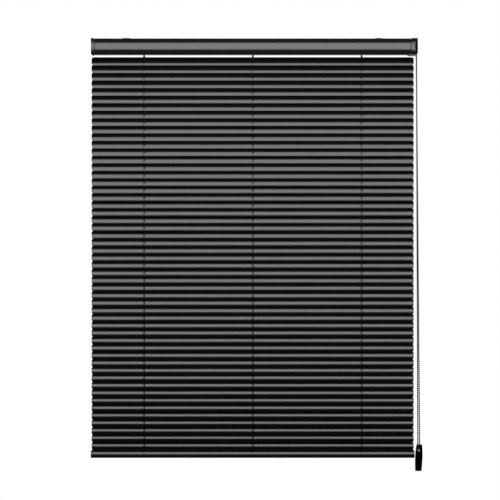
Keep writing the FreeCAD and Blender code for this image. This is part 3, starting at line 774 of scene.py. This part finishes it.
# %% The strings and cords
CORD_START, CORD_END = 6.4 * MM, 12 * MM


def strings_along(name, beside, width, route):
    """One string at each ladder along a route of (y, z) places, stretched along X to a width."""
    made = []
    for x in LADDERS:
        tube = tube_along("string", [(x + beside, y, z) for y, z in route], STRING_RADIUS)
        made.append(widen(tube, x + beside, width / 2 / STRING_RADIUS))
    return joined(name, made)


front_strings = strings_along("front_strings", STRING_BESIDE, FRONT_WIDTH, front_route)
back_strings = strings_along("back_strings", BACK_BESIDE, BACK_WIDTH, back_route)
lift_cords = joined("lift_cords", [tube_along("lift_cord", [
    (x + CORD_BESIDE, 0, shaft_z - CORD_START), (x + CORD_BESIDE, 0, base_centre.z + CORD_END)], CORD_RADIUS)
    for x in LADDERS])
finish_piece(front_strings, "head", braid, "braid", "ladders_and_cords")
finish_piece(back_strings, "head", braid, "braid")
finish_piece(lift_cords, "head", braid, "braid")
print(len(LADDERS), "strings in front,", len(LADDERS), "behind, and", len(LADDERS), "lift cords")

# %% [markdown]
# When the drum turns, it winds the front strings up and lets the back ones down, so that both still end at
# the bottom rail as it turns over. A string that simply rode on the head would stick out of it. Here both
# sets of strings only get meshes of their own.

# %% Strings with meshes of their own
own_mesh(front_strings)
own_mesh(back_strings)
print("strings move", round(TURN_OVER * 1000, 1), "mm at the bottom rail")

# %% [markdown]
# A rung runs under each slat from the front string to the back one. The rungs could be part of the ladders,
# but then the slats would turn through them, so each set of three belongs to its slat and turns with it.

# %% Rungs, three to a slat
RUNG_REACH, RUNG_BELOW = 13.0 * MM, 0.55 * MM
rungs = joined("rungs", [tube_along("rung", [
    (x + STRING_BESIDE, -RUNG_REACH, -RUNG_BELOW), (x + STRING_BESIDE, RUNG_REACH, -RUNG_BELOW)],
    RUNG_RADIUS, 4) for x in LADDERS])
for name, centre in zip(slat_names, centres):
    copy = rungs.copy()
    copy.data = rungs.data.copy()
    copy.name = copy.data.name = name + "_rungs"
    bpy.context.collection.objects.link(copy)
    copy.data.transform(Matrix.Translation(centre) @ Matrix.Rotation(CLOSED_TILT, 4, "X"))
    finish_piece(copy, name + "_body", braid, "braid")
bpy.data.objects.remove(rungs)
print("rungs", round(2 * RUNG_REACH * 1000), "mm long under", len(slat_names), "slats")

# %% [markdown]
# ## Bottom rail
# The bottom rail is a rolled steel tube with a flat, slightly crowned section. A stretched cylinder would be
# an ellipse, which this isn't. So a box gets its rounded long edges from a bevel, and its upper face is cut
# lengthwise and raised to the crown. It lies a little flatter than the slats above it.


# %% The bottom rail's tube
BASE_WIDE, BASE_THICK, BASE_CAP, BASE_ROUND = 25 * MM, 8 * MM, 1.5 * MM, 9 * MM
BASE_CROWN, BASE_CORNER, BASE_EASED = 1.3 * MM, 2.5 * MM, math.radians(3.7)
BASE_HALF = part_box("bottom_rail")[1].x - BASE_CAP
to_base = Matrix.Translation(base_centre) @ Matrix.Rotation(CLOSED_TILT - BASE_EASED, 4, "X")


def crowned_bar(name, left, right):
    """A box along X with rounded long edges, its upper face cut lengthwise and raised to a crown."""
    half_wide, half_thick, cuts = BASE_WIDE / 2, BASE_THICK / 2, 12
    bar = block(name, (left, -half_wide, -half_thick), (right, half_wide, half_thick - BASE_CROWN))
    edit(bar)
    pick_edges(lambda a, b: abs(a.x - b.x) > (right - left) / 2)
    bpy.ops.mesh.bevel(offset=BASE_CORNER, segments=6, affect="EDGES")
    flat = half_wide - BASE_CORNER
    for n in range(1, cuts):
        bpy.ops.mesh.select_all(action="SELECT")
        bpy.ops.mesh.bisect(plane_co=(0, flat * (2 * n / cuts - 1), 0), plane_no=(0, 1, 0))
    done()
    for point in bar.data.vertices:
        if point.co.z > half_thick - BASE_CROWN - 1e-6:
            point.co.z += BASE_CROWN * max(0, 1 - (point.co.y / flat) ** 2)
    return bar


def round_plan(obj):
    """Rounds the corners that point away from the room, seen from above the flat rail."""
    half = BASE_HALF + BASE_CAP
    plan = block("plan", (-half, -FAR, -FAR), (half, BASE_WIDE / 2, FAR))
    edit(plan)
    pick_edges(lambda a, b: abs(a.z - b.z) > FAR and min(a.y, b.y) > 0)
    bpy.ops.mesh.bevel(offset=BASE_ROUND, segments=8, affect="EDGES")
    done()
    cut_away(obj, plan, "INTERSECT")


base_tube = crowned_bar("base_tube", -BASE_HALF, BASE_HALF)
round_plan(base_tube)
smooth(base_tube, 30)
base_tube.data.transform(to_base)
finish_piece(base_tube, "base", rail_enamel, "rail_enamel", "bottom_rail")
print("bottom rail", round(2 * BASE_HALF * 1000, 1), "mm of tube,", len(base_tube.data.polygons), "faces")

# %% [markdown]
# The tube's ends are closed by thin caps with the same section, made by the same function. Below each ladder
# a round plug in the rail's underside holds the cord's end. It is a short cylinder with soft edges, and it
# shows when the rail turns over.

# %% Its end caps and plugs
PLUG_RADIUS, PLUG_THICK, PLUG_DROP, FITTING_ROUND = 6 * MM, 1.2 * MM, 4.6 * MM, 0.4 * MM
fitted = []
for left in (-BASE_HALF - BASE_CAP, BASE_HALF):
    end = crowned_bar("base_cap", left, left + BASE_CAP)
    round_plan(end)
    round_edges(end, FITTING_ROUND, 2, 40)
    fitted.append(end)
for x in LADDERS:
    bpy.ops.mesh.primitive_cylinder_add(vertices=32, radius=PLUG_RADIUS, depth=PLUG_THICK,
                                        location=(x, 0, -PLUG_DROP))
    plug = bpy.context.object
    settle(plug)
    round_edges(plug, FITTING_ROUND, 2, 40)
    fitted.append(plug)
base_fittings = joined("base_caps_and_plugs", fitted)
smooth(base_fittings, 40)
base_fittings.data.transform(to_base)
finish_piece(base_fittings, "base", cap_plastic, "cap_plastic")
print(len(fitted), "fittings on the bottom rail")


# %% [markdown]
# ## Bead chain
# The chain is one endless loop of beads on a thin core string. It hangs from the sprocket, and its two runs
# come together in the weight. A few points give its route, and a smooth spline through a curve object turns
# them into a line that bends as a hanging chain does.

# %% The chain's route
weight_centre = Vector((473.5 * MM, 0, -1195.9 * MM))
turn, lean_over = math.radians(25), math.radians(2)
LOOP, STRAIGHT_ABOVE = 6.5 * MM, 27 * MM


def beside(distance, z):
    """A point behind the weight's middle line, turned as the weight is."""
    return Vector((weight_centre.x + distance * math.sin(turn), distance * math.cos(turn), z))


exit_front = Vector((chain_x, -SPROCKET, swing_point.z))
exit_back = Vector((chain_x, SPROCKET, swing_point.z))
loop_low = weight_centre.z - LOOP
front_low, back_low = beside(-LOOP, loop_low), beside(LOOP, loop_low)
front_above = front_low + (exit_front - front_low).normalized() * STRAIGHT_ABOVE
back_above = back_low + (exit_back - back_low).normalized() * STRAIGHT_ABOVE
route = [exit_front, front_above, front_low, back_low, back_above, exit_back]
print("chain route of", len(route), "points")


# %% A smooth line, and places along it
def smooth_line(points):
    """The points of a NURBS spline through a route, read from a curve with no bevel."""
    curve = bpy.data.curves.new("route", "CURVE")
    curve.dimensions, curve.resolution_u = "3D", 64
    spline = curve.splines.new("NURBS")
    spline.points.add(len(points) - 1)
    for point, place in zip(spline.points, points):
        point.co = (*place, 1)
    spline.order_u, spline.use_endpoint_u = 3, True
    obj = bpy.data.objects.new("route", curve)
    mesh = bpy.data.meshes.new_from_object(obj)
    line = [vertex.co.copy() for vertex in mesh.vertices]
    bpy.data.meshes.remove(mesh)
    bpy.data.objects.remove(obj)
    return line


def steps_along(line, step):
    """A list of places a step apart along a line, each with its direction."""
    found, walked, due = [], 0.0, 0.0
    for start, end in zip(line, line[1:]):
        length = (end - start).length
        while due <= walked + length and length > 0:
            found.append((start.lerp(end, (due - walked) / length), (end - start).normalized()))
            due += step
        walked += length
    return found


# %% [markdown]
# A bead has few faces, because there are hundreds. The pitch is rounded so that the last bead falls on the
# line's end, and each bead is turned along the line. An array on a curve would do the same, but it would
# stretch the beads in the tight bend.


# %% Beads on a string
def bead_string(name, line):
    """Beads along a line on a core string as one mesh, with the line's length and the number of beads."""
    bpy.ops.mesh.primitive_uv_sphere_add(segments=12, ring_count=8, radius=BEAD_RADIUS)
    bead = bpy.context.object
    length = sum((end - start).length for start, end in zip(line, line[1:]))
    # A hair under the even pitch, so that rounding doesn't lose the last bead.
    places = steps_along(line, length / round(length / BEAD_PITCH) - 1e-7)
    cage = bmesh.new()
    for place, direction in places:
        before = len(cage.verts)
        cage.from_mesh(bead.data)
        cage.verts.ensure_lookup_table()
        turned = Matrix.Translation(place) @ direction.to_track_quat("Z", "Y").to_matrix().to_4x4()
        bmesh.ops.transform(cage, matrix=turned, verts=cage.verts[before:])
    mesh = bpy.data.meshes.new(name)
    cage.to_mesh(mesh)
    cage.free()
    beads = bpy.data.objects.new(name, mesh)
    bpy.context.collection.objects.link(beads)
    bpy.data.objects.remove(bead)
    only(beads)
    bpy.ops.object.shade_smooth()
    beads = joined(name, [beads, tube_along("core", line, CORE_RADIUS, 4)])
    return beads, length, len(places)


line = smooth_line(route)
chain, chain_length, bead_count = bead_string("bead_chain_loop", line)
chain.data.materials.append(bead_plastic)
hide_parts("bead_chain")
print("chain", round(chain_length, 3), "m,", bead_count, "beads")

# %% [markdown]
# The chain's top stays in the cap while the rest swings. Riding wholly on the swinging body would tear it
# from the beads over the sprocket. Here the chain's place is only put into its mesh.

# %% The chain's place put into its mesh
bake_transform(chain)

# %% [markdown]
# Inside the cap the chain runs over the sprocket, half a circle from one exit to the other. It doesn't swing,
# so it is a piece of its own on the head, made by the same function.

# %% The chain over the sprocket
ABOVE_EXIT = 0.5 * MM
arch_line = [Vector((chain_x, -SPROCKET, swing_point.z + ABOVE_EXIT))]
arch_line += [Vector((chain_x, -SPROCKET * math.cos(a), shaft_z + SPROCKET * math.sin(a)))
              for a in (math.pi * n / 24 for n in range(25))]
arch_line.append(Vector((chain_x, SPROCKET, swing_point.z + ABOVE_EXIT)))
arch, arch_length, arch_beads = bead_string("chain_over_sprocket", arch_line)
finish_piece(arch, "head", bead_plastic, "bead_plastic")
print("over the sprocket", round(arch_length, 3), "m,", arch_beads, "beads")

# %% [markdown]
# ## Chain weight
# The weight is a slim moulding in two halves that hangs in the chain's loop and keeps it straight. It is
# fuller in the middle than at its ends. Subdivision would round that off into an egg, so each half is a box
# cut into sixteen lengths, drawn in by the square of the distance from its middle, and then bevelled.


# %% One half of the weight
WEIGHT_TALL, WEIGHT_THICK, WEIGHT_CORNER = 76 * MM, 13 * MM, 2.5 * MM
HALF_TOP, HALF_MIDDLE, HALF_BOTTOM = 8.5 * MM, 13.5 * MM, 10.5 * MM
WEIGHT_CUTS, THINNER_ENDS, SEAM_EASED = 16, 0.08, 0.2 * MM
to_weight = (Matrix.Translation(weight_centre) @ Matrix.Rotation(lean_over, 4, "Y")
             @ Matrix.Rotation(-turn, 4, "Z"))


def weight_half(side):
    """One moulded half: a block drawn in towards its ends, soft outside and barely eased at the seam."""
    # The block reaches one metre each way along Y, so that scaling a point by a width puts it there.
    low, high = sorted((0, side * WEIGHT_THICK / 2))
    half = block("weight_half", (low, -1, -WEIGHT_TALL / 2), (high, 1, WEIGHT_TALL / 2))
    edit(half)
    for n in range(1, WEIGHT_CUTS):
        bpy.ops.mesh.select_all(action="SELECT")
        bpy.ops.mesh.bisect(plane_co=(0, 0, WEIGHT_TALL * (n / WEIGHT_CUTS - 0.5)), plane_no=(0, 0, 1))
    done()
    for point in half.data.vertices:
        share = point.co.z / (WEIGHT_TALL / 2)
        end = HALF_TOP if share > 0 else HALF_BOTTOM
        point.co.y *= HALF_MIDDLE - (HALF_MIDDLE - end) * share ** 2
        point.co.x *= 1 - THINNER_ENDS * share ** 2
    edit(half)
    pick_edges(lambda a, b: min(abs(a.x), abs(b.x)) > MM
               and (abs(a.z - b.z) > MM or min(abs(a.z), abs(b.z)) > WEIGHT_TALL / 2 - MM))
    bpy.ops.mesh.bevel(offset=WEIGHT_CORNER, segments=6, affect="EDGES", clamp_overlap=True)
    pick_edges(lambda a, b: max(abs(a.x), abs(b.x)) < 1e-6)
    bpy.ops.mesh.bevel(offset=SEAM_EASED, segments=2, affect="EDGES")
    done()
    return half


# %% [markdown]
# A shallow oval recess with a flat floor is pressed into the front corner. Insetting a face can't cross a
# bevelled corner, so a boolean makes it: an oval cylinder whose lower face is the floor, leaning back.


# %% The recess in the weight
RECESS_LEAN, CUTTER_REACH = math.radians(22), 4 * MM
RECESS_PLACE, RECESS_HALF = Vector((-0.2 * MM, -10.5 * MM, 21.5 * MM)), (3.2 * MM, 4.8 * MM)


def oval_recess(half):
    """A shallow oval recess on the front corner, with a flat floor that leans back."""
    outwards = Vector((0, -math.cos(RECESS_LEAN), math.sin(RECESS_LEAN)))
    cutter_centre = weight_centre + RECESS_PLACE + outwards * CUTTER_REACH
    bpy.ops.mesh.primitive_cylinder_add(vertices=32, radius=1, depth=2)
    cutter = bpy.context.object
    cutter.data.transform(to_weight.inverted() @ Matrix.Translation(cutter_centre)
                          @ Matrix.Rotation(math.pi / 2 - RECESS_LEAN, 4, "X")
                          @ Matrix.Diagonal((*RECESS_HALF, CUTTER_REACH, 1)))
    cut_away(half, cutter)


# %% [markdown]
# The weight is made of its two halves, the front one with the recess. The chain's length, from where it
# leaves the cap to where it goes back in, is read from the smooth line.

# %% The weight
front_half = weight_half(1)
oval_recess(front_half)
weight = joined("chain_weight_halves", [weight_half(-1), front_half])
weight.data.transform(to_weight)
smooth(weight, 40)
finish_piece(weight, "chain", weight_plastic, "weight_plastic", "chain_weight")
print("weight", len(weight.data.polygons), "faces")


# %% [markdown]
# ## Lights
# Black enamel shows little but what it reflects, so the light is shaped before it is bright. One long soft
# lamp in front of the blind and above it draws a bright line along each slat. A point lamp would give dots.
# A weak one behind keeps the back from going black in other views.


# %% Lights
def softbox(name, centre, aim, width, height, power):
    """A rectangular lamp that the camera doesn't see, turned to face a place."""
    bpy.ops.object.light_add(type="AREA", location=centre)
    lamp = bpy.context.object
    lamp.name = name
    lamp.data.shape, lamp.data.size, lamp.data.size_y = "RECTANGLE", width, height
    lamp.data.energy = power
    lamp.rotation_euler = (Vector(aim) - Vector(centre)).to_track_quat("-Z", "Y").to_euler()
    lamp.visible_camera = False
    return lamp


front_lamp = softbox("front_softbox", centre=(0, -1.36, 0.22), aim=(0, 0, 0.22),
                     width=2.0, height=0.8, power=23.5)
back_lamp = softbox("back_softbox", centre=(0, 2.4, 0.6), aim=(0, 0, -0.6),
                    width=2.0, height=1.2, power=12)
print("lamps", front_lamp.data.energy, "W and", back_lamp.data.energy, "W")

# %% [markdown]
# ## Backdrop and floor
# The backdrop is white. A bright world would also light the blind and be mirrored in every slat, which would
# turn its black to grey, so the world is white only to the camera and faint to everything else.

# %% World
FAINT = 0.03
scene = bpy.context.scene
scene.view_settings.view_transform = "Standard"
world = bpy.data.worlds.new("studio")
scene.world = world
world.use_nodes = True
tree = world.node_tree
background = tree.nodes["Background"]
background.inputs["Color"].default_value = (1, 1, 1, 1)
ray = tree.nodes.new("ShaderNodeLightPath")
strength = tree.nodes.new("ShaderNodeMapRange")
strength.inputs["To Min"].default_value, strength.inputs["To Max"].default_value = FAINT, 1.0
tree.links.new(ray.outputs["Is Camera Ray"], strength.inputs["Value"])
tree.links.new(strength.outputs["Result"], background.inputs["Strength"])
print("world", FAINT, "to all but the camera")

# %% [markdown]
# A white floor would throw light up into the slats, and a missing one would show a horizon. So the floor
# glows white to the camera and is a dark, dull surface to every other ray.

# %% The floor, white to the camera and dark to the rest
FLOOR_DROP, FLOOR_SIZE, FLOOR_SHADE = 0.35, 60, 0.04
bpy.ops.mesh.primitive_plane_add(size=FLOOR_SIZE, location=(0, 0, cad_low.z - FLOOR_DROP))
floor = bpy.context.object
floor.name = "floor"
floor_material = bpy.data.materials.new("floor")
floor_material.use_nodes = True
tree = floor_material.node_tree
shader = tree.nodes["Principled BSDF"]
shader.inputs["Base Color"].default_value = (FLOOR_SHADE, FLOOR_SHADE, FLOOR_SHADE, 1)
shader.inputs["Roughness"].default_value = 0.9
glow = tree.nodes.new("ShaderNodeEmission")
mix = tree.nodes.new("ShaderNodeMixShader")
ray = tree.nodes.new("ShaderNodeLightPath")
tree.links.new(ray.outputs["Is Camera Ray"], mix.inputs["Fac"])
tree.links.new(shader.outputs["BSDF"], mix.inputs[1])
tree.links.new(glow.outputs["Emission"], mix.inputs[2])
tree.links.new(mix.outputs["Shader"], tree.nodes["Material Output"].inputs["Surface"])
floor.data.materials.append(floor_material)
floor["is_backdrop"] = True
print("floor", FLOOR_DROP, "m below the blind")

# %% [markdown]
# ## The visual model's size
# The size of the visual model's box is printed. The visual model has to stay inside the construction's box.

# %% The visual model's size, and finish
low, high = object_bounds()
print("visual model", [round(side, 3) for side in high - low], "m")
